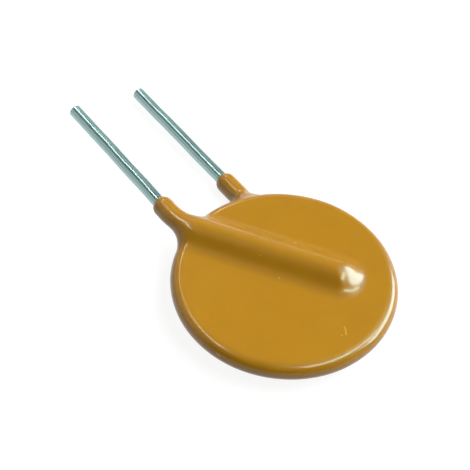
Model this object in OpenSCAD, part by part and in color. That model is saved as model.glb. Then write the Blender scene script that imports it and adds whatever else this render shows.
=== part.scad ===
// Radial resettable fuse: a polymer chip between two foils, with a wire soldered to each face,
// dipped in epoxy. It lies flat. The leads point along +Y, and the origin is midway between them
// where they leave the coating.

/* [Disc] */
// Diameter over the coating
disc_d = 13; // [10:0.1:18]
// Thickness of the polymer chip
chip_t = 0.58; // [0.3:0.01:1.2]
// Thickness of each foil electrode
foil_t = 0.04; // [0.02:0.01:0.1]
// How far the disc's centre lies to one side of the leads' midline
disc_shift = 0.3; // [-1:0.01:1]
// From the disc's edge to the plane where the leads leave the coating
neck_len = 2.22; // [1.5:0.01:4]

/* [Coating] */
// Thickness of the coating on the chip's faces
face_coat = 0.29; // [0.15:0.01:0.5]
// Thickness of the coating round the chip's edge
rim_coat = 0.25; // [0.15:0.01:0.5]
// Thickness of the coating round the wires
lead_coat = 0.24; // [0.1:0.01:0.4]
// Radius of the hollow blend between the ridges, the collars and the disc
blend_r = 1.1; // [0.4:0.05:2]
// How much the slanted flat takes off the round nose where a ridge ends
end_flat = 0.15; // [0:0.01:0.2]
// Slope of that flat
end_slope = 36; // [20:1:60]
// Rounding of the flat's edge
end_round = 0.15; // [0.05:0.01:0.3]

/* [Leads] */
// Diameter of the wire
lead_d = 0.8; // [0.5:0.01:1]
// Distance between the two leads, centre to centre
lead_pitch = 5.1; // [4:0.1:8]
// Length of bare wire outside the coating
lead_len = 9.4; // [5:0.1:25]
// How much further the lower lead and its collar stand out than the upper ones
lead_skew = 0.55; // [0:0.01:1.2]

/* [Bends] */
// Angle by which each wire turns in, to cross the disc
bend_angle = 33; // [15:1:45]
// Radius of the bend, at the wire's centre line
bend_r = 4; // [1:0.1:6]
// From the upper collar's mouth back to the corner of its bend
upper_back = 2.1; // [1.6:0.05:4]
// From the lower collar's mouth back to the corner of its bend
lower_back = 3; // [1.6:0.05:4]
// How far each wire's inner end stops short of the chip's edge
end_margin = 3.1; // [1.5:0.05:3.5]

/* [Solder] */
// Thickness of the solder between the wire and the foil
solder_film = 0.04; // [0.03:0.01:0.1]
// Width of the solder's foot on the foil
solder_w = 1.7; // [1.2:0.05:2.4]
// How far the solder stops short of the chip's edge, the bend and the wire's end
solder_margin = 0.5; // [0.2:0.05:1]

/* [Hidden] */
$fn = 96;

// Sizes that follow from those above
disc_r = disc_d / 2;
chip_r = disc_r - rim_coat;
stack_h = chip_t / 2 + foil_t;
disc_h = stack_h + face_coat;
lead_r = lead_d / 2;
lead_h = stack_h + solder_film + lead_r;
jacket_r = lead_r + lead_coat;
disc_c = [disc_shift, -disc_r - neck_len, 0];

// The coating's round mouth meets the bare wire this far past the centre of its nose
nose = sqrt(jacket_r * jacket_r - lead_r * lead_r);

// The wire swells a little where it is bent, and its straight legs reach into the bend
bend_swell = lead_d / 40;
leg_in = lead_d / 8;
tangent = bend_r * tan(bend_angle / 2);
run_dir = [sin(bend_angle), -cos(bend_angle), 0];
flat_dir = run_dir * sin(end_slope) + [0, 0, cos(end_slope)];

// The lower half is the upper one turned half way round the Y axis and set further out.
// So both wires are worked out on the upper side, the upper wire as 0 and the lower as 1
function turned(p) = [-p.x, p.y - lead_skew, -p.z];
sides = [0, 1];
backs = [upper_back, lower_back];
corners = [for (s = sides) [-lead_pitch / 2, -lead_skew / 2 - backs[s], lead_h]];
centres = [disc_c, turned(disc_c)];

// Along each run from its corner: the point nearest the disc's centre, the chip's edge and the wire's end
offsets = [for (s = sides) [corners[s].x - centres[s].x, corners[s].y - centres[s].y, 0]];
middles = [for (s = sides) -offsets[s] * run_dir];
function half_chord(s, r) = sqrt(max(0, middles[s] * middles[s] - offsets[s] * offsets[s] + r * r));
chip_edges = [for (s = sides) middles[s] - half_chord(s, chip_r)];
runs = [for (s = sides) middles[s] + half_chord(s, chip_r - end_margin)];

// Grid on which the dipped surface is worked out, as cells across and through the disc
cells_across = 36;
cells_through = 14;
far = 10 * disc_d;

// Distance from q to the line from a to b
function to_line(q, a, b) =
    let (ab = b - a, t = max(0, min(1, (q - a) * ab / (ab * ab))))
    norm(q - a - t * ab);

// Distance from q to the bend's centre line, with q measured from the corner
function to_bend(q) =
    let (w = q - [bend_r, tangent, 0], turn = atan2(-w.y, -w.x))
    turn < 0 || turn > bend_angle ? far : norm([norm([w.x, w.y]) - bend_r, w.z]);

// Distance from q to the coated part of a wire's centre line, with q measured from its corner
function to_wire(q, s) = min(
    to_line(q, [0, tangent, 0], [0, backs[s] - nose, 0]),
    to_bend(q),
    to_line(q, run_dir * tangent, run_dir * runs[s]));

// Height of q over the slanted flat at a ridge's end, with q measured from the wire's corner
function over_flat(q, s) = (q - run_dir * runs[s]) * flat_dir - jacket_r + end_flat;

// Height of p over a wire's jacket. Past the disc's middle plane the jacket fades out
function over_jacket(p, s) =
    let (past = max(0, -p.z) / disc_h, q = p - corners[s])
    trim(to_wire(q, s) - jacket_r, over_flat(q, s), end_round) + past * past * blend_r;

// Height of p over the flat disc with its round rim
function over_disc(p) =
    let (q = p - disc_c, out = max(0, norm([q.x, q.y]) - disc_r + disc_h))
    norm([out, q.z]) - disc_h;

// Two bodies joined with a hollow blend of radius r
function blend(a, b, r) = max(r, min(a, b)) - norm([max(r - a, 0), max(r - b, 0)]);

// One body trimmed by another, with a round edge of radius r
function trim(a, b, r) = -blend(-a, -b, r);

// A blend wider than the ridge is high lifts the ridge's top a little
ridge_h = lead_h + jacket_r - disc_h;
ridge_lift = blend_r > ridge_h
    ? blend_r - (ridge_h + sqrt(2 * blend_r * blend_r - ridge_h * ridge_h)) / 2
    : 0;

// Height of p over the dipped surface
function over_coat(p) = blend(over_disc(p), min(over_jacket(p, 0), over_jacket(turned(p), 1)), blend_r);

// p moved straight onto the dipped surface, in n steps
probe = disc_d / 10000;
settle_steps = 3;
function onto_coat(p, n) =
    n == 0 ? p :
    let (
        h = over_coat(p),
        g = [for (e = [[probe, 0, 0], [0, probe, 0], [0, 0, probe]])
            (over_coat(p + e) - over_coat(p - e)) / (2 * probe)]
    )
    onto_coat(p - g * h / (g * g), n - 1);

// The dipped surface as a closed net: one point in each grid cell that it passes through
module dipped_skin() {
    // The cells' diagonals run along both ridges
    slant = sqrt(tan(bend_angle));
    cell = disc_d / cells_across;
    cell_x = cell * slant;
    cell_y = cell / slant;
    top = lead_h + jacket_r + ridge_lift;
    cell_z = 2 * top / cells_through;
    x_lo = min(disc_c.x - disc_r, -lead_pitch / 2 - jacket_r) - cell_x;
    x_hi = max(disc_c.x + disc_r, lead_pitch / 2 + jacket_r) + cell_x;
    y_lo = disc_c.y - disc_r - cell_y;
    y_hi = lead_skew / 2 + jacket_r + cell_y;
    nx = ceil((x_hi - x_lo) / cell_x);
    ny = ceil((y_hi - y_lo) / cell_y);
    nz = cells_through + 2;
    xs = [for (i = [0:nx]) x_lo + i * cell_x];
    ys = [for (j = [0:ny]) y_lo + j * cell_y];
    zs = [for (k = [0:nz]) -top + (k - 1) * cell_z];
    h = [for (x = xs) [for (y = ys) [for (z = zs) over_coat([x, y, z])]]];

    box = [for (a = [0, 1], b = [0, 1], c = [0, 1]) [a, b, c]];
    edges = [for (p = box, q = box) if (norm(q - p) == 1 && (q - p) * [1, 1, 1] == 1) [p, q]];
    function height(n) = h[n.x][n.y][n.z];
    function place(n) = [xs[n.x], ys[n.y], zs[n.z]];
    function crossing(a, b) = place(a) + (place(b) - place(a)) * height(a) / (height(a) - height(b));
    function mean(list) = list * [for (v = list) 1] / len(list);

    cells = [for (i = [0:nx - 1], j = [0:ny - 1], k = [0:nz - 1]) [i, j, k]];
    cut = [for (c = cells)
        let (below = len([for (b = box) if (height(c + b) < 0) 1]))
        below > 0 && below < 8];
    count = [for (i = 0, n = 0; i < len(cells); n = n + (cut[i] ? 1 : 0), i = i + 1) n];
    function point_of(c) = count[(c.x * ny + c.y) * nz + c.z];
    points = [for (i = [0:len(cells) - 1]) if (cut[i])
        let (hits = [for (e = edges) if ((height(cells[i] + e[0]) < 0) != (height(cells[i] + e[1]) < 0))
            crossing(cells[i] + e[0], cells[i] + e[1])])
        onto_coat([for (a = [0:2]) mean([for (p = hits) p[a]])], settle_steps)];

    // A four-sided face crosses each grid edge that the surface cuts
    faces = [for (c = cells, axis = [0:2])
        let (
            step = [for (a = [0:2]) a == axis ? 1 : 0],
            u = [for (a = [0:2]) a == (axis + 1) % 3 ? 1 : 0],
            v = [for (a = [0:2]) a == (axis + 2) % 3 ? 1 : 0],
            inside = height(c) < 0
        )
        if (c * u > 0 && c * v > 0 && inside != (height(c + step) < 0))
            let (ring = [point_of(c - u - v), point_of(c - v), point_of(c), point_of(c - u)])
            inside ? [for (i = [3:-1:0]) ring[i]] : ring];
    function stray(a, b) = abs(over_coat((points[a] + points[b]) / 2));
    triangles = [for (f = faces)
        let (even = stray(f[0], f[2]) < stray(f[1], f[3]))
        each even ? [[f[0], f[1], f[2]], [f[0], f[2], f[3]]] : [[f[1], f[2], f[3]], [f[1], f[3], f[0]]]];
    polyhedron(points, triangles, convexity = 6);
}

// One wire on the upper side: bare leg, bend, and the run across the chip
module wire(s) {
    translate(corners[s]) {
        translate([0, tangent - leg_in, 0]) rotate([-90, 0, 0])
            cylinder(r = lead_r, h = backs[s] + lead_len - tangent + leg_in);
        translate([bend_r, tangent, 0]) rotate([0, 0, 180])
            rotate_extrude(angle = bend_angle) translate([bend_r, 0]) circle(r = lead_r + bend_swell);
        rotate([0, 0, bend_angle]) translate([0, -runs[s], 0]) rotate([-90, 0, 0])
            cylinder(r = lead_r, h = runs[s] - tangent + leg_in);
    }
}

// Solder along the run: a foot on the foil that climbs to the wire's middle on both sides
module solder(s) {
    foot = -lead_r - solder_film;
    start = max(chip_edges[s], tangent) + solder_margin;
    translate(corners[s]) rotate([0, 0, bend_angle]) translate([0, -start, 0]) rotate([90, 0, 0])
        linear_extrude(height = runs[s] - solder_margin - start) difference() {
            polygon([[-solder_w / 2, foot], [solder_w / 2, foot], [lead_r, 0], [-lead_r, 0]]);
            circle(r = lead_r);
        }
}

// A piece of the upper side carried to the lower side
module lower_side() {
    translate([0, lead_skew, 0]) rotate([0, 180, 0]) children();
}

module foil() {
    translate(disc_c + [0, 0, chip_t / 2]) cylinder(r = chip_r, h = foil_t);
}

module epoxy_coating() {
    color([0.77, 0.57, 0.16]) difference() {
        dipped_skin();
        translate(disc_c - [0, 0, stack_h]) cylinder(r = chip_r, h = 2 * stack_h);
        wire(0);
        solder(0);
        lower_side() wire(1);
        lower_side() solder(1);
    }
}

module ptc_chip() {
    color([0.12, 0.12, 0.13]) translate(disc_c - [0, 0, chip_t / 2])
        cylinder(r = chip_r, h = chip_t);
}

module upper_foil() {
    color([0.72, 0.70, 0.66]) foil();
}

module lower_foil() {
    color([0.72, 0.70, 0.66]) translate([0, 0, -chip_t - foil_t]) foil();
}

module upper_lead() {
    color([0.63, 0.70, 0.70]) wire(0);
}

module lower_lead() {
    color([0.63, 0.70, 0.70]) lower_side() wire(1);
}

module upper_solder() {
    color([0.60, 0.62, 0.64]) solder(0);
}

module lower_solder() {
    color([0.60, 0.62, 0.64]) lower_side() solder(1);
}

epoxy_coating();
ptc_chip();
upper_foil();
lower_foil();
upper_lead();
lower_lead();
upper_solder();
lower_solder();
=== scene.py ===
"""Resettable fuse: a dipped ochre coat over a polymer chip, and two tinned leads, on a pale floor."""
import math
from types import SimpleNamespace
from typing import NamedTuple

import bpy
from bpy.props import FloatProperty, FloatVectorProperty, PointerProperty
from mathutils import Matrix, Vector


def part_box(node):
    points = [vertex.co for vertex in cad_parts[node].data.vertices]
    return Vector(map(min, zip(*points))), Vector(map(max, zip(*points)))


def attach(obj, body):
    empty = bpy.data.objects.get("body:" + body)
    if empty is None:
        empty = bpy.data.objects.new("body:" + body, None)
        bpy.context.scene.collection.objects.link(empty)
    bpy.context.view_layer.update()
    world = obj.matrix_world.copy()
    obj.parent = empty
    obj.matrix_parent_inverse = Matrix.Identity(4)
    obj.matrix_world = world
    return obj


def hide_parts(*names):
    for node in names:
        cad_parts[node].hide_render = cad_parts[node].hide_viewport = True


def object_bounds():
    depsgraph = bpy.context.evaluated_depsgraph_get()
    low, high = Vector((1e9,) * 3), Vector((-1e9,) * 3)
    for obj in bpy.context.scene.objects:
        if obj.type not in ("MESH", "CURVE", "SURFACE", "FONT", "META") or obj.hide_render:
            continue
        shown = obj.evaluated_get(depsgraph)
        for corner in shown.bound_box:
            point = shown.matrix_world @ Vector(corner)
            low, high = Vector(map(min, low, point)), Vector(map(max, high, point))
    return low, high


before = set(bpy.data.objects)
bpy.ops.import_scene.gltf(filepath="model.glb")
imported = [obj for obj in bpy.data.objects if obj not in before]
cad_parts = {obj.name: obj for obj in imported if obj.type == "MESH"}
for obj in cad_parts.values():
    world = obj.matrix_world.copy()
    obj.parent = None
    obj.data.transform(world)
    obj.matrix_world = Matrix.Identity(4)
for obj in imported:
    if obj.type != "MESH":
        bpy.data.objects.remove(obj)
CAD_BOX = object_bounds()

bl_info = {
    "name": "Resettable Fuse",
    "version": (1, 0, 0),
    "blender": (4, 5, 0),
    "location": "3D View > Sidebar > Fuse",
    "description": "Dips the coat, draws the leads and lights a radial resettable fuse",
    "category": "Object",
}

# Node trees work in millimetres, and a finished mesh is scaled to metres
MM = 0.001
BODY = "root"


def box_mm(node):
    """Lowest and highest corner of a fixed node, in millimetres."""
    low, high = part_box(node)
    return low / MM, high / MM


def middle_mm(node):
    """The middle of a fixed node's box, in millimetres."""
    low, high = box_mm(node)
    return (low + high) / 2


DISC_CENTRE = middle_mm("ptc_chip")
FOIL_TOP = box_mm("upper_foil")[1].z
FLOOR_Z = CAD_BOX[0].z


# Settings


def size_mm(name, description, default):
    """A length setting whose default is given in millimetres."""
    return FloatProperty(
        name=name, description=description, default=default * MM, unit="LENGTH", precision=5
    )


def tint(name, description, default):
    """A colour setting, in linear values."""
    return FloatVectorProperty(
        name=name, description=description, default=default, subtype="COLOR", size=3, min=0, max=1
    )


def place(name, description, default):
    """A point in the part's own frame."""
    return FloatVectorProperty(
        name=name, description=description, default=default, subtype="TRANSLATION", size=3
    )


def turn(name, description, degrees):
    """An angle setting whose default is given in degrees."""
    return FloatProperty(name=name, description=description, default=math.radians(degrees), unit="ROTATION")


class CoatSettings(bpy.types.PropertyGroup):
    """Sizes and colours of the dipped coat."""

    disc_d: size_mm("Disc diameter", "Across the coated disc", 13)
    face_coat: size_mm("Face coat", "Epoxy over each foil", 0.29)
    lead_coat: size_mm("Lead coat", "Epoxy round each wire", 0.24)
    blend_r: size_mm("Blend", "Radius where a ridge runs into the face", 1.1)
    end_flat: size_mm("End flat", "What the slanted flat takes off a ridge's round end", 0.15)
    end_round: size_mm("End round", "Rounding of the flat's edge", 0.15)
    end_slope: turn("End slope", "Slope of the flat", 36)
    sag: size_mm("Sag", "How far the dipped skin wanders from its true form", 0.01)
    sag_span: size_mm("Sag span", "Distance over which the skin wanders", 2.6)
    mesh_step: size_mm("Mesh step", "Spacing of the skin's mesh", 0.08)
    ochre: tint("Ochre", "Most of the coat", (0.53, 0.258, 0.003))
    umber: tint("Umber", "Mottling in the coat", (0.47, 0.212, 0.002))
    scuff: tint("Scuff", "Small marks in the coat", (0.9, 0.62, 0.1))


class LeadSettings(bpy.types.PropertyGroup):
    """Sizes and colours of the tinned leads."""

    wire_d: size_mm("Wire diameter", "Across the tinned wire", 0.8)
    film: size_mm("Solder film", "Solder between a wire and its foil", 0.04)
    pitch: size_mm("Pitch", "Between the two leads", 5.1)
    skew: size_mm("Skew", "How much further back one coat mouth lies than the other", 0.55)
    upper_back: size_mm("Upper back", "From the upper coat mouth to the wire's corner", 2.1)
    lower_back: size_mm("Lower back", "From the lower coat mouth to the wire's corner", 3)
    end_r: size_mm("End radius", "From the disc's middle to where a wire ends", 3.15)
    bend_r: size_mm("Bend radius", "Radius of the bend in each wire", 4)
    bend_angle: turn("Bend angle", "Turn of each wire at its bend", 33)
    tip_round: size_mm("Tip round", "Rounding of the cut tip", 0.05)
    waver: size_mm("Waver", "How far the drawn wire wanders from straight", 0.012)
    waver_span: size_mm("Waver span", "Distance over which the wire wanders", 2)
    mesh_step: size_mm("Mesh step", "Spacing of the mesh along a wire", 0.05)
    tin: tint("Tin", "The tinned surface", (0.43, 0.62, 0.6))
    tin_dull: tint("Dull tin", "Streaks along the wire", (0.34, 0.52, 0.505))


class StageSettings(bpy.types.PropertyGroup):
    """The floor and the camera."""

    floor: tint("Floor", "The floor's own colour", (0.2, 0.2, 0.2))
    eye: place("Camera", "Place of the camera", (-0.026997, -0.036373, 0.049632))
    aim: place("Aim", "Point at the middle of the picture", (0.000048, -0.004376, 0))
    roll: turn("Roll", "Turn of the camera about its own axis", 4.35)
    lens: FloatProperty(name="Lens", description="Focal length on a 36 mm sensor", default=84.52)


# Node trees


class Term:
    """A number on its way through a node tree. Python's own signs add the maths nodes."""

    def __init__(self, tree, socket):
        self.tree = tree
        self.socket = socket

    def __add__(self, other):
        return maths(self.tree, "ADD", self, other)

    def __sub__(self, other):
        return maths(self.tree, "SUBTRACT", self, other)

    def __mul__(self, other):
        return maths(self.tree, "MULTIPLY", self, other)

    def __truediv__(self, other):
        return maths(self.tree, "DIVIDE", self, other)

    def __neg__(self):
        return self * -1

    def least(self, other):
        return maths(self.tree, "MINIMUM", self, other)

    def most(self, other):
        return maths(self.tree, "MAXIMUM", self, other)

    def within(self, low, high):
        return self.most(low).least(high)

    def sin(self):
        return maths(self.tree, "SINE", self)

    def cos(self):
        return maths(self.tree, "COSINE", self)

    def tan(self):
        return maths(self.tree, "TANGENT", self)

    def root(self):
        return maths(self.tree, "SQRT", self)


def feed(tree, socket, value):
    """Gives a node's input a term, a socket or a plain value."""
    if isinstance(value, Term):
        value = value.socket
    if isinstance(value, bpy.types.NodeSocket):
        tree.links.new(value, socket)
    else:
        socket.default_value = value


def add_node(tree, kind, inputs=None, **options):
    """A node with its options set and its inputs fed by name or number."""
    node = tree.nodes.new(kind)
    for name, value in options.items():
        setattr(node, name, value)
    for name, value in (inputs or {}).items():
        feed(tree, node.inputs[name], value)
    return node


def maths(tree, operation, *values):
    """One maths node on terms or plain numbers."""
    node = add_node(tree, "ShaderNodeMath", dict(enumerate(values)), operation=operation)
    return Term(tree, node.outputs[0])


def vector_maths(tree, operation, first, second):
    """One vector maths node on sockets or plain vectors."""
    return add_node(tree, "ShaderNodeVectorMath", {0: first, 1: second}, operation=operation).outputs[0]


def join(tree, x, y, z=0.0):
    """A vector from three numbers."""
    return add_node(tree, "ShaderNodeCombineXYZ", {"X": x, "Y": y, "Z": z}).outputs[0]


def split(tree, vector):
    """The three numbers of a vector."""
    return [Term(tree, part) for part in add_node(tree, "ShaderNodeSeparateXYZ", {0: vector}).outputs]


def length(tree, x, y, z=0.0):
    """The length of the vector (x, y, z)."""
    node = add_node(tree, "ShaderNodeVectorMath", {0: join(tree, x, y, z)}, operation="LENGTH")
    return Term(tree, node.outputs["Value"])


def scaled(tree, vector, factor):
    """A vector times a number."""
    inputs = {0: vector, "Scale": factor}
    return add_node(tree, "ShaderNodeVectorMath", inputs, operation="SCALE").outputs[0]


SOCKETS = {
    "number": "NodeSocketFloat",
    "vector": "NodeSocketVector",
    "colour": "NodeSocketColor",
    "shape": "NodeSocketGeometry",
    "material": "NodeSocketMaterial",
}
SHAPE_TREE = "GeometryNodeTree"
SHADER_TREE = "ShaderNodeTree"
GROUP_NODES = {SHAPE_TREE: "GeometryNodeGroup", SHADER_TREE: "ShaderNodeGroup"}


def new_group(kind, name, inputs, outputs):
    """An empty node group with named sockets, and what comes in by name."""
    tree = bpy.data.node_groups.new(name, kind)
    for sockets, side in ((inputs, "INPUT"), (outputs, "OUTPUT")):
        for socket, form in sockets.items():
            tree.interface.new_socket(name=socket, in_out=side, socket_type=SOCKETS[form])
    entry = tree.nodes.new("NodeGroupInput").outputs
    given = {n: Term(tree, entry[n]) if form == "number" else entry[n] for n, form in inputs.items()}
    return tree, given


def put_out(tree, values):
    """Feeds a group's outputs by name."""
    add_node(tree, "NodeGroupOutput", values)


def use_group(tree, group, inputs):
    """A group placed as a node in another tree."""
    node = add_node(tree, GROUP_NODES[tree.bl_idname], node_tree=group)
    for name, value in inputs.items():
        feed(tree, node.inputs[name], value)
    return node


def grow(name, tree, inputs, points=(), edges=()):
    """Runs a shape tree on a path and leaves the result as an object with one plain mesh."""
    seed = bpy.data.meshes.new(name)
    seed.from_pydata(points, edges, [])
    piece = bpy.data.objects.new(name, seed)
    bpy.context.scene.collection.objects.link(piece)
    shaper = piece.modifiers.new("Shape", "NODES")
    shaper.node_group = tree
    for item in tree.interface.items_tree:
        if item.in_out == "INPUT" and item.name in inputs:
            shaper[item.identifier] = inputs[item.name]
    evaluated = piece.evaluated_get(bpy.context.evaluated_depsgraph_get())
    mesh = bpy.data.meshes.new_from_object(evaluated)
    if not mesh.polygons:
        raise RuntimeError(f"{name} has no faces")
    piece.modifiers.clear()
    piece.data = mesh
    bpy.data.meshes.remove(seed)
    mesh.name = name
    return piece


# Edges that turn more than this stay sharp
SHARP_ANGLE = math.radians(40)
# A noise texture strays about a third from its middle
NOISE_SPREAD = 3.0


# The coat's form

COAT_SIZES = {
    "Disc Centre": "vector",
    "Disc Radius": "number",
    "Half Thickness": "number",
    "Wrap Radius": "number",
    "Blend Radius": "number",
    "Upper Corner": "vector",
    "Lower Corner": "vector",
    "Upper Leg": "number",
    "Lower Leg": "number",
    "Upper Run": "number",
    "Lower Run": "number",
    "Skew": "number",
    "Bend Radius": "number",
    "Bend Angle": "number",
    "End Flat": "number",
    "End Round": "number",
    "End Slope": "number",
    "Sag": "number",
    "Sag Span": "number",
}
# Steps that set the mesh down on the skin, and the grid's value on the skin
SETTLE_STEPS = 4
SKIN_DENSITY = 1.0
# Room round the coat for the grid
COAT_MARGIN = 0.3


def wire_group():
    """Distance from a point to the middle line of a bent wire, measured from its corner."""
    sizes = ("Leg", "Run", "Bend Radius", "Bend Angle")
    inputs = {"Point": "vector", **{name: "number" for name in sizes}}
    tree, given = new_group(SHAPE_TREE, "Distance to wire", inputs, {"Distance": "number"})
    x, y, z = split(tree, given["Point"])
    leg, run, bend_r, angle = (given[name] for name in sizes)
    tangent = (angle / 2).tan() * bend_r
    to_leg = length(tree, x, y - y.within(tangent, leg), z)
    along = (x * angle.sin() - y * angle.cos()).within(tangent, run)
    to_run = length(tree, x - along * angle.sin(), y + along * angle.cos(), z)
    across = x - bend_r
    back = y - tangent
    turned = maths(tree, "ARCTAN2", -back, -across).within(0.0, angle)
    to_bend = length(tree, across + turned.cos() * bend_r, back + turned.sin() * bend_r, z)
    put_out(tree, {"Distance": to_leg.least(to_run).least(to_bend)})
    return tree


def over_flat(tree, given, point, run):
    """Height of a point, measured from a wire's corner, over the slanted flat at the end of its ridge."""
    x, y, z = split(tree, point)
    along = x * given["Bend Angle"].sin() - y * given["Bend Angle"].cos() - run
    slope = given["End Slope"]
    return along * slope.sin() + z * slope.cos() - given["Wrap Radius"] + given["End Flat"]


def blend(tree, first, second, radius):
    """Two heights joined with a hollow blend."""
    gap = length(tree, (radius - first).most(0.0), (radius - second).most(0.0))
    return first.least(second).most(radius) - gap


def over_wrap(tree, given, wire, side, point):
    """Height of a point over the epoxy round one wire, which fades below the disc's middle."""
    z = split(tree, point)[2]
    past = (-z).most(0.0) / given["Half Thickness"]
    point = vector_maths(tree, "SUBTRACT", point, given[side + " Corner"])
    run = given[side + " Run"]
    sizes = {
        "Point": point,
        "Leg": given[side + " Leg"],
        "Run": run,
        "Bend Radius": given["Bend Radius"],
        "Bend Angle": given["Bend Angle"],
    }
    wrap = Term(tree, use_group(tree, wire, sizes).outputs["Distance"]) - given["Wrap Radius"]
    trimmed = -blend(tree, -wrap, -over_flat(tree, given, point, run), given["End Round"])
    return trimmed + past * past * given["Blend Radius"]


def wander(tree, point, span):
    """Three smooth random numbers from about -1 to 1, which change over the given span."""
    sizes = {"Vector": point, "Scale": maths(tree, "DIVIDE", 1.0, span), "Detail": 0.0}
    noise = add_node(tree, "ShaderNodeTexNoise", sizes)
    return [(channel - 0.5) * NOISE_SPREAD for channel in split(tree, noise.outputs["Color"])]


def coat_height_group():
    """Height of a point over the dipped skin: a round-rimmed disc blended into the wraps of both wires."""
    inputs = {"Point": "vector", **COAT_SIZES}
    tree, given = new_group(SHAPE_TREE, "Height over coat", inputs, {"Height": "number"})
    wire = wire_group()
    x, y, z = split(tree, given["Point"])
    turned = join(tree, -x, y - given["Skew"], -z)
    upper = over_wrap(tree, given, wire, "Upper", given["Point"])
    wraps = upper.least(over_wrap(tree, given, wire, "Lower", turned))

    qx, qy, qz = split(tree, vector_maths(tree, "SUBTRACT", given["Point"], given["Disc Centre"]))
    half = given["Half Thickness"]
    outside = (length(tree, qx, qy) - given["Disc Radius"] + half).most(0.0)
    disc = length(tree, outside, qz) - half

    height = blend(tree, disc, wraps, given["Blend Radius"])
    sag = wander(tree, given["Point"], given["Sag Span"])[0] * given["Sag"]
    put_out(tree, {"Height": height - sag})
    return tree


def finish_shape(tree, shape, finish):
    """Ends a shape tree: sharp edges kept, millimetres made metres, one finish."""
    faces = {"Geometry": shape, "Shade Smooth": True}
    shape = add_node(tree, "GeometryNodeSetShadeSmooth", faces).outputs[0]
    angle = Term(tree, tree.nodes.new("GeometryNodeInputMeshEdgeAngle").outputs["Unsigned Angle"])
    smooth = maths(tree, "LESS_THAN", angle, SHARP_ANGLE)
    edges = {"Geometry": shape, "Shade Smooth": smooth}
    shape = add_node(tree, "GeometryNodeSetShadeSmooth", edges, domain="EDGE").outputs[0]
    shape = add_node(tree, "GeometryNodeTransform", {"Geometry": shape, "Scale": (MM, MM, MM)}).outputs[0]
    shape = add_node(tree, "GeometryNodeRealizeInstances", {"Geometry": shape}).outputs[0]
    shape = add_node(tree, "GeometryNodeSetMaterial", {"Geometry": shape, "Material": finish}).outputs[0]
    put_out(tree, {"Shape": shape})


def coat_tree():
    """The dipped skin: a mesh near where the height is nothing, then set down on it in a few steps."""
    inputs = {
        **COAT_SIZES,
        "Low Corner": "vector",
        "High Corner": "vector",
        "Mesh Step": "number",
        "Finish": "material",
    }
    tree, given = new_group(SHAPE_TREE, "Dipped coat", inputs, {"Shape": "shape"})
    group = coat_height_group()
    sizes = {name: given[name] for name in COAT_SIZES}

    def height():
        point = tree.nodes.new("GeometryNodeInputPosition").outputs[0]
        return Term(tree, use_group(tree, group, {"Point": point, **sizes}).outputs["Height"])

    reach = vector_maths(tree, "SUBTRACT", given["High Corner"], given["Low Corner"])
    counts = [side / given["Mesh Step"] for side in split(tree, reach)]
    cube = {
        "Density": -height() + SKIN_DENSITY,
        "Min": given["Low Corner"],
        "Max": given["High Corner"],
        **dict(zip(("Resolution X", "Resolution Y", "Resolution Z"), counts)),
    }
    volume = add_node(tree, "GeometryNodeVolumeCube", cube).outputs[0]
    skin = {"Volume": volume, "Threshold": SKIN_DENSITY}
    shape = add_node(tree, "GeometryNodeVolumeToMesh", skin, resolution_mode="GRID").outputs[0]
    for _ in range(SETTLE_STEPS):
        normal = tree.nodes.new("GeometryNodeInputNormal").outputs[0]
        down = scaled(tree, normal, -height())
        shape = add_node(tree, "GeometryNodeSetPosition", {"Geometry": shape, "Offset": down}).outputs[0]
    finish_shape(tree, shape, given["Finish"])
    return tree


# The leads' form

LEAD_SIZES = ("Wire Diameter", "Bend Radius", "Tip Round", "Waver", "Waver Span", "Mesh Step")
WIRE_SIDES = 64
BEND_STEPS = 24


def lead_tree():
    """A round wire drawn along a bent path, with a cut tip."""
    inputs = {"Path": "shape", **{name: "number" for name in LEAD_SIZES}, "Finish": "material"}
    tree, given = new_group(SHAPE_TREE, "Drawn lead", inputs, {"Shape": "shape"})
    path = add_node(tree, "GeometryNodeMeshToCurve", {"Mesh": given["Path"]}).outputs[0]
    bend = {"Curve": path, "Count": BEND_STEPS, "Radius": given["Bend Radius"]}
    path = add_node(tree, "GeometryNodeFilletCurve", bend, mode="POLY").outputs[0]
    steps = {"Curve": path, "Length": given["Mesh Step"]}
    path = add_node(tree, "GeometryNodeResampleCurve", steps, mode="LENGTH").outputs[0]

    point = tree.nodes.new("GeometryNodeInputPosition").outputs[0]
    aside, _, up = (way * given["Waver"] for way in wander(tree, point, given["Waver Span"]))
    path = add_node(
        tree, "GeometryNodeSetPosition", {"Geometry": path, "Offset": join(tree, aside, 0.0, up)}
    ).outputs[0]

    walked = Term(tree, tree.nodes.new("GeometryNodeSplineParameter").outputs["Length"])
    whole = Term(tree, tree.nodes.new("GeometryNodeSplineLength").outputs["Length"])
    wire_r = given["Wire Diameter"] / 2
    inset = -(walked.least(whole - walked) / given["Tip Round"]).least(1.0) + 1.0
    drop = -(-(inset * inset) + 1.0).root() + 1.0
    scale = -(drop * given["Tip Round"] / wire_r) + 1.0
    ring = {"Resolution": WIRE_SIDES, "Radius": wire_r}
    circle = add_node(tree, "GeometryNodeCurvePrimitiveCircle", ring, mode="RADIUS").outputs[0]
    sweep = {"Curve": path, "Profile Curve": circle, "Scale": scale, "Fill Caps": True}
    finish_shape(tree, add_node(tree, "GeometryNodeCurveToMesh", sweep).outputs[0], given["Finish"])
    return tree


# Finishes


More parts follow.
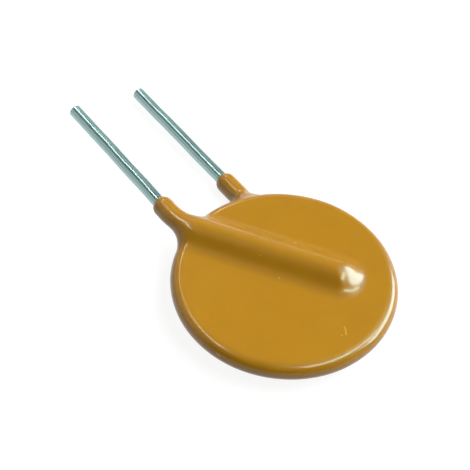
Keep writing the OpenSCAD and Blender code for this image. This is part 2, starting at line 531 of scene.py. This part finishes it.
def mottle_group():
    """Smooth random patches on a surface, stretched along an axis if wanted."""
    inputs = {"Scale": "number", "Stretch": "vector", "Detail": "number"}
    tree, given = new_group(SHADER_TREE, "Mottle", inputs, {"Mask": "number"})
    point = tree.nodes.new("ShaderNodeTexCoord").outputs["Object"]
    noise = add_node(
        tree,
        "ShaderNodeTexNoise",
        {
            "Vector": vector_maths(tree, "MULTIPLY", point, given["Stretch"]),
            "Scale": given["Scale"],
            "Detail": given["Detail"],
        },
    )
    put_out(tree, {"Mask": noise.outputs["Fac"]})
    return tree


# Small pale marks in the epoxy: start, end and half width, in millimetres
EPOXY_MARKS = {
    "hair_tip": ((0.71, -13.41, 0.61), (0.67, -13.57, 0.61), 0.05),
    "hair": ((0.67, -13.57, 0.61), (0.46, -13.86, 0.61), 0.055),
    "speck_by_hair": ((0.24, -13.75, 0.62), (0.24, -13.76, 0.62), 0.06),
    "speck_behind_ridge": ((2.17, -7.28, 0.72), (2.21, -7.28, 0.72), 0.09),
    "speck_at_foot": ((-0.15, -8.74, 0.66), (-0.15, -8.76, 0.66), 0.06),
    "speck_on_flank": ((-0.31, -7.12, 1.15), (-0.31, -7.14, 1.15), 0.05),
    "rim_nick": ((-5.9, -10.62, 0.22), (-5.82, -10.8, 0.2), 0.07),
}
# Share of a mark's half width at which it starts to fade, and how far it hides the coat's own colour
MARK_CORE = 0.3
MARK_STRENGTH = 0.5


def marks_group():
    """A mask that is full on a few short marks and fades at their sides."""
    tree, _ = new_group(SHADER_TREE, "Marks", {}, {"Mask": "number"})
    point = scaled(tree, tree.nodes.new("ShaderNodeTexCoord").outputs["Object"], 1 / MM)
    mask = None
    for start, end, half_width in EPOXY_MARKS.values():
        way = Vector(end) - Vector(start)
        offset = vector_maths(tree, "SUBTRACT", point, start)
        reach = add_node(tree, "ShaderNodeVectorMath", {0: offset, 1: way}, operation="DOT_PRODUCT")
        along = (Term(tree, reach.outputs["Value"]) / way.length_squared).within(0.0, 1.0)
        aside = vector_maths(tree, "SUBTRACT", offset, scaled(tree, way, along))
        fade = {
            "Value": length(tree, *split(tree, aside)),
            "From Min": half_width * MARK_CORE,
            "From Max": half_width,
            "To Min": 1.0,
            "To Max": 0.0,
        }
        mark = Term(tree, add_node(tree, "ShaderNodeMapRange", fade).outputs["Result"])
        mask = mark if mask is None else mask.most(mark)
    put_out(tree, {"Mask": mask})
    return tree


class Finish:
    """A material under construction: its tree, its shader and the mottling that it shares."""

    mottle = None

    def __init__(self, name, **plain):
        if Finish.mottle is None:
            Finish.mottle = mottle_group()
        self.material = bpy.data.materials.new(name)
        self.material.use_nodes = True
        self.tree = self.material.node_tree
        self.shader = self.tree.nodes["Principled BSDF"]
        for socket, value in plain.items():
            self.set(socket.replace("_", " "), value)

    def set(self, socket, value):
        feed(self.tree, self.shader.inputs[socket], value)

    def patches(self, span, stretch=(1.0, 1.0, 1.0), detail=2.0):
        """A mask of patches about one span (in millimetres) across."""
        sizes = {"Scale": 1 / (span * MM), "Stretch": stretch, "Detail": detail}
        return Term(self.tree, use_group(self.tree, Finish.mottle, sizes).outputs["Mask"])

    def between(self, mask, low, high):
        """A number that follows a mask from one value to another."""
        return mask * (high - low) + low

    def mix(self, mask, first, second):
        """A colour that follows a mask from one colour, or colour socket, to another."""
        node = add_node(self.tree, "ShaderNodeMix", {"Factor": mask}, data_type="RGBA")
        sockets = [socket for socket in node.inputs if socket.type == "RGBA"]
        for socket, colour in zip(sockets, (first, second)):
            plain = not isinstance(colour, bpy.types.NodeSocket)
            feed(self.tree, socket, (*colour, 1.0) if plain else colour)
        return [socket for socket in node.outputs if socket.type == "RGBA"][0]

    def bump(self, height, depth):
        """Raises the surface by a mask, to the given depth in millimetres."""
        node = add_node(self.tree, "ShaderNodeBump", {"Height": height, "Distance": depth * MM})
        self.set("Normal", node.outputs["Normal"])


def epoxy_finish(coat):
    """Dipped epoxy: a clear gloss over a hazy ochre, with faint mottling, orange peel and a few marks."""
    finish = Finish("ochre_epoxy", Specular_IOR_Level=0.3, Coat_Weight=0.6, Coat_Roughness=0.15)
    cloud = finish.patches(span=1.8, detail=6.0)
    marks = Term(finish.tree, use_group(finish.tree, marks_group(), {}).outputs["Mask"])
    skin = finish.mix(cloud, coat.ochre, coat.umber)
    finish.set("Base Color", finish.mix(marks * MARK_STRENGTH, skin, coat.scuff))
    finish.set("Roughness", finish.between(finish.patches(span=0.5), low=0.3, high=0.36))
    finish.bump(finish.patches(span=0.9, detail=1.0), depth=0.001)
    return finish.material


def tin_finish(lead):
    """Tinned copper wire with draw lines along it."""
    finish = Finish("tinned_wire", Metallic=0.72)
    lines = finish.patches(span=0.12, stretch=(1.0, 0.01, 1.0), detail=2.0)
    finish.set("Base Color", finish.mix(lines, lead.tin, lead.tin_dull))
    finish.set("Roughness", finish.between(lines, low=0.13, high=0.19))
    return finish.material


def polymer_finish():
    """Carbon-filled polymer, dark with a fine grain."""
    black, grey = (0.01, 0.01, 0.011), (0.03, 0.03, 0.031)
    finish = Finish("carbon_polymer")
    grain = finish.patches(span=0.06, detail=4.0)
    finish.set("Base Color", finish.mix(grain, black, grey))
    finish.set("Roughness", finish.between(grain, low=0.5, high=0.7))
    finish.bump(grain, depth=0.004)
    return finish.material


def foil_finish():
    """Rolled nickel foil with a rough tooth."""
    nickel, dull_nickel = (0.42, 0.39, 0.34), (0.34, 0.32, 0.28)
    finish = Finish("nickel_foil", Metallic=1.0)
    roll = finish.patches(span=0.1, stretch=(1.0, 0.1, 1.0), detail=3.0)
    finish.set("Base Color", finish.mix(roll, nickel, dull_nickel))
    finish.set("Roughness", finish.between(roll, low=0.3, high=0.5))
    finish.bump(roll, depth=0.002)
    return finish.material


def solder_finish():
    """Bright solder with a slightly frosted skin."""
    bright, frosted = (0.55, 0.55, 0.54), (0.42, 0.42, 0.41)
    finish = Finish("soft_solder", Metallic=1.0)
    frost = finish.patches(span=0.2, detail=3.0)
    finish.set("Base Color", finish.mix(frost, bright, frosted))
    finish.set("Roughness", finish.between(frost, low=0.22, high=0.45))
    finish.bump(frost, depth=0.004)
    return finish.material


# Pieces


def lengths_mm(settings):
    """Every length of a settings group, in millimetres, by name."""
    found = [p.identifier for p in settings.bl_rna.properties if p.type == "FLOAT" and p.unit == "LENGTH"]
    return SimpleNamespace(**{name: getattr(settings, name) / MM for name in found})


def turn_over(point, skew):
    """The lower wire is the upper one turned half way round, and set back by the skew."""
    return Vector((-point.x, point.y - skew, -point.z))


def turn_back(point, skew):
    """Undoes turn_over."""
    return Vector((-point.x, point.y + skew, -point.z))


class Wire:
    """One lead's path, held as if it were the upper lead."""

    def __init__(self, scene, lower):
        size = lengths_mm(scene.fuse_leads)
        coat = lengths_mm(scene.fuse_coat)
        angle = scene.fuse_leads.bend_angle
        self.lower = lower
        self.skew = size.skew
        self.wire_r = size.wire_d / 2
        self.wrap_r = self.wire_r + coat.lead_coat
        back = size.lower_back if lower else size.upper_back
        height = FOIL_TOP + size.film + self.wire_r
        self.corner = Vector((-size.pitch / 2, -size.skew / 2 - back, height))
        self.leg = back - math.sqrt(self.wrap_r**2 - self.wire_r**2)
        self.way = Vector((math.sin(angle), -math.cos(angle), 0))
        centre = turn_over(DISC_CENTRE, size.skew) if lower else DISC_CENTRE
        start = (self.corner - centre).to_2d()
        along = start.dot(self.way.to_2d())
        self.run = -along + math.sqrt(along**2 - start.length_squared + size.end_r**2)

    def path(self, tip_y):
        """Tip, corner and buried end, where they lie in the part."""
        here = turn_back if self.lower else lambda point, skew: point
        corner = here(self.corner, self.skew)
        end = here(self.corner + self.way * self.run, self.skew)
        return [Vector((corner.x, tip_y, corner.z)), corner, end]


class FUSE_OT_leads(bpy.types.Operator):
    """Draw both tinned leads along their bent paths"""

    bl_idname = "fuse.leads"
    bl_label = "Draw Leads"

    def execute(self, context):
        scene = context.scene
        size = lengths_mm(scene.fuse_leads)
        tree = lead_tree()
        inputs = {
            "Wire Diameter": size.wire_d,
            "Bend Radius": size.bend_r,
            "Tip Round": size.tip_round,
            "Waver": size.waver,
            "Waver Span": size.waver_span,
            "Mesh Step": size.mesh_step,
            "Finish": tin_finish(scene.fuse_leads),
        }
        for node, lower in (("upper_lead", False), ("lower_lead", True)):
            points = Wire(scene, lower).path(box_mm(node)[1].y)
            piece = grow("drawn_" + node, tree, inputs, points, [(0, 1), (1, 2)])
            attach(piece, BODY)
            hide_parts(node)
        return {"FINISHED"}


class FUSE_OT_coat(bpy.types.Operator):
    """Dip the disc and both wires in ochre epoxy"""

    bl_idname = "fuse.coat"
    bl_label = "Dip Coat"

    def execute(self, context):
        scene = context.scene
        coat = lengths_mm(scene.fuse_coat)
        leads = lengths_mm(scene.fuse_leads)
        upper, lower = Wire(scene, False), Wire(scene, True)
        low, high = box_mm("epoxy_coating")
        margin = Vector((1, 1, 1)) * COAT_MARGIN
        inputs = {
            "Disc Centre": DISC_CENTRE,
            "Disc Radius": coat.disc_d / 2,
            "Half Thickness": FOIL_TOP + coat.face_coat,
            "Wrap Radius": upper.wrap_r,
            "Blend Radius": coat.blend_r,
            "Upper Corner": upper.corner,
            "Lower Corner": lower.corner,
            "Upper Leg": upper.leg,
            "Lower Leg": lower.leg,
            "Upper Run": upper.run,
            "Lower Run": lower.run,
            "Skew": leads.skew,
            "Bend Radius": leads.bend_r,
            "Bend Angle": scene.fuse_leads.bend_angle,
            "End Flat": coat.end_flat,
            "End Round": coat.end_round,
            "End Slope": scene.fuse_coat.end_slope,
            "Sag": coat.sag,
            "Sag Span": coat.sag_span,
            "Low Corner": low - margin,
            "High Corner": high + margin,
            "Mesh Step": coat.mesh_step,
            "Finish": epoxy_finish(scene.fuse_coat),
        }
        piece = grow("dipped_coat", coat_tree(), inputs)
        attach(piece, BODY)
        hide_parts("epoxy_coating")
        return {"FINISHED"}


class FUSE_OT_core(bpy.types.Operator):
    """Finish the chip, its foils and the solder inside the coat"""

    bl_idname = "fuse.core"
    bl_label = "Finish Core"

    def execute(self, context):
        foil, solder = foil_finish(), solder_finish()
        finishes = {
            "ptc_chip": polymer_finish(),
            "upper_foil": foil,
            "lower_foil": foil,
            "upper_solder": solder,
            "lower_solder": solder,
        }
        for node, material in finishes.items():
            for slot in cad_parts[node].material_slots:
                slot.material = material
        return {"FINISHED"}


# Stage

FLOOR_SPAN = 6.0
FLOOR_GLOW = 0.9
LAMP_DISTANCE = 2.0
CLIP_NEAR, CLIP_FAR = 0.001, 20.0
# The world's light at the horizon and overhead, and the heights, as parts of one, between which it changes
HORIZON_LIGHT, OVERHEAD_LIGHT = 0.12, 0.06
HORIZON_TOP, OVERHEAD_START = 0.05, 0.4
# Colours of the lamps
WHITE = (1.0, 1.0, 1.0)
WARM = (1.0, 0.95, 0.85)
COOL = (0.9, 1.0, 1.0)
SKY = (0.58, 0.92, 1.0)
LEAF = (0.7, 1.0, 0.7)
LEMON = (0.95, 1.0, 0.75)
MINT = (0.7, 1.0, 0.8)


class PanelLamp(NamedTuple):
    """A flat lamp that reaches from one direction to another, each an azimuth and an elevation.

    Directions and width are in degrees. A lamp that isn't matt shows only in reflections, and one
    without shine shows in none.
    """

    name: str
    start: tuple
    end: tuple
    width: float
    radiance: float
    colour: tuple = WHITE
    matt: bool = True
    shine: bool = True


LAMPS = (
    PanelLamp("key_panel", (-82, 58), (14, 19), width=26, radiance=6.8, shine=False),
    PanelLamp("glow_panel", (-100, 80), (14, 40), width=24, radiance=0.8, shine=False),
    PanelLamp("back_panel", (85, 16), (165, 16), width=32, radiance=0.7),
    PanelLamp("window", (-50, 26), (5, 19), width=23, radiance=13, colour=SKY, matt=False),
    PanelLamp("halo", (-45, 58), (20, 55), width=12, radiance=1.6, colour=LEAF, matt=False),
    PanelLamp("rim_strip", (-101, 60), (-78, 57), width=7, radiance=17, colour=LEMON, matt=False),
    PanelLamp("rim_window", (-78, 56), (-18, 45), width=7, radiance=17, colour=MINT, matt=False),
    PanelLamp("left_strip", (165, 58), (100, 59), width=2.5, radiance=30, colour=WARM, matt=False),
    PanelLamp("lead_strip", (100, 59), (73, 46), width=2.5, radiance=8, colour=COOL, matt=False),
    PanelLamp("far_strip", (73, 46), (58, 30), width=2.5, radiance=22, colour=WARM, matt=False),
    PanelLamp("side_panel", (40, 26), (72, 26), width=24, radiance=0.6, colour=COOL, matt=False),
)


def direction(azimuth, elevation):
    """The way to a lamp: azimuth from +X towards +Y, elevation above the floor, in degrees."""
    a, e = math.radians(azimuth), math.radians(elevation)
    return Vector((math.cos(a) * math.cos(e), math.sin(a) * math.cos(e), math.sin(e)))


def hang_lamp(panel):
    """Hangs a panel lamp so that it faces the part."""
    first, last = (direction(*way) * LAMP_DISTANCE for way in (panel.start, panel.end))
    centre = (first + last) / 2
    lamp = bpy.data.lights.new(panel.name, "AREA")
    lamp.shape = "RECTANGLE"
    lamp.size = (last - first).length
    lamp.size_y = 2 * centre.length * math.tan(math.radians(panel.width) / 2)
    lamp.energy = panel.radiance * math.pi * lamp.size * lamp.size_y
    lamp.color = panel.colour
    holder = bpy.data.objects.new(panel.name, lamp)
    long_way, out = (last - first).normalized(), centre.normalized()
    turned = Matrix((long_way, out.cross(long_way), out)).transposed().to_4x4()
    holder.matrix_world = Matrix.Translation(centre) @ turned
    holder.visible_diffuse = panel.matt
    holder.visible_glossy = panel.shine
    bpy.context.scene.collection.objects.link(holder)


def studio_world():
    """A dim room, a little lighter near the floor than overhead."""
    world = bpy.data.worlds.new("studio")
    world.use_nodes = True
    tree = world.node_tree
    height = split(tree, tree.nodes.new("ShaderNodeTexCoord").outputs["Generated"])[2]
    change = {
        "Value": height,
        "From Min": HORIZON_TOP,
        "From Max": OVERHEAD_START,
        "To Min": HORIZON_LIGHT,
        "To Max": OVERHEAD_LIGHT,
    }
    dim = add_node(tree, "ShaderNodeMapRange", change)
    feed(tree, tree.nodes["Background"].inputs["Color"], dim.outputs["Result"])
    bpy.context.scene.world = world


def floor_material(colour):
    """A matt floor with a glow of its own for the eye, so that it looks white and keeps a soft shadow."""
    material = bpy.data.materials.new("pale_floor")
    material.use_nodes = True
    tree = material.node_tree
    tree.nodes.remove(tree.nodes["Principled BSDF"])
    ray = tree.nodes.new("ShaderNodeLightPath").outputs
    seen = Term(tree, ray["Is Camera Ray"]).most(Term(tree, ray["Is Glossy Ray"]))
    seen = seen.most(Term(tree, ray["Is Transmission Ray"]))
    matt = add_node(tree, "ShaderNodeBsdfDiffuse", {"Color": (*colour, 1.0)})
    glow = add_node(tree, "ShaderNodeEmission", {"Strength": seen * FLOOR_GLOW})
    both = add_node(tree, "ShaderNodeAddShader", {0: matt.outputs[0], 1: glow.outputs[0]})
    feed(tree, tree.nodes["Material Output"].inputs["Surface"], both.outputs[0])
    return material


def lay_floor(colour):
    """A square floor at the part's lowest point."""
    half = FLOOR_SPAN / 2
    corners = [(x * half, y * half, FLOOR_Z) for x, y in ((-1, -1), (1, -1), (1, 1), (-1, 1))]
    mesh = bpy.data.meshes.new("floor")
    mesh.from_pydata(corners, [], [(0, 1, 2, 3)])
    mesh.materials.append(floor_material(colour))
    floor = bpy.data.objects.new("floor", mesh)
    bpy.context.scene.collection.objects.link(floor)


def place_camera(stage):
    """The camera at the photograph's angle."""
    camera = bpy.data.cameras.new("camera")
    camera.lens = stage.lens
    camera.clip_start, camera.clip_end = CLIP_NEAR, CLIP_FAR
    holder = bpy.data.objects.new("camera", camera)
    eye = Vector(stage.eye)
    facing = (Vector(stage.aim) - eye).to_track_quat("-Z", "Y").to_matrix().to_4x4()
    holder.matrix_world = Matrix.Translation(eye) @ facing @ Matrix.Rotation(stage.roll, 4, "Z")
    bpy.context.scene.collection.objects.link(holder)
    bpy.context.scene.camera = holder


class FUSE_OT_stage(bpy.types.Operator):
    """Lay the floor, hang the lamps and place the camera"""

    bl_idname = "fuse.stage"
    bl_label = "Set Stage"

    def execute(self, context):
        stage = context.scene.fuse_stage
        lay_floor(stage.floor)
        studio_world()
        for panel in LAMPS:
            hang_lamp(panel)
        place_camera(stage)
        context.scene.view_settings.view_transform = "Standard"
        return {"FINISHED"}


class FUSE_PT_sidebar(bpy.types.Panel):
    """The fuse's settings and steps"""

    bl_idname = "FUSE_PT_sidebar"
    bl_label = "Resettable Fuse"
    bl_space_type = "VIEW_3D"
    bl_region_type = "UI"
    bl_category = "Fuse"

    def draw(self, context):
        for settings in (context.scene.fuse_leads, context.scene.fuse_coat, context.scene.fuse_stage):
            box = self.layout.box()
            for name in settings.__annotations__:
                box.prop(settings, name)
        for step in STEPS:
            self.layout.operator(step.bl_idname)


STEPS = (FUSE_OT_leads, FUSE_OT_coat, FUSE_OT_core, FUSE_OT_stage)
SETTINGS = {"fuse_coat": CoatSettings, "fuse_leads": LeadSettings, "fuse_stage": StageSettings}
CLASSES = (*SETTINGS.values(), *STEPS, FUSE_PT_sidebar)


def register():
    """Adds the settings, the steps and the sidebar."""
    for item in CLASSES:
        bpy.utils.register_class(item)
    for name, settings in SETTINGS.items():
        setattr(bpy.types.Scene, name, PointerProperty(type=settings))


def unregister():
    """Takes them away again."""
    for name in SETTINGS:
        delattr(bpy.types.Scene, name)
    for item in reversed(CLASSES):
        bpy.utils.unregister_class(item)


def main():
    """Makes every piece in order."""
    register()
    bpy.ops.fuse.leads()
    bpy.ops.fuse.coat()
    bpy.ops.fuse.core()
    bpy.ops.fuse.stage()


if __name__ == "__main__":
    main()
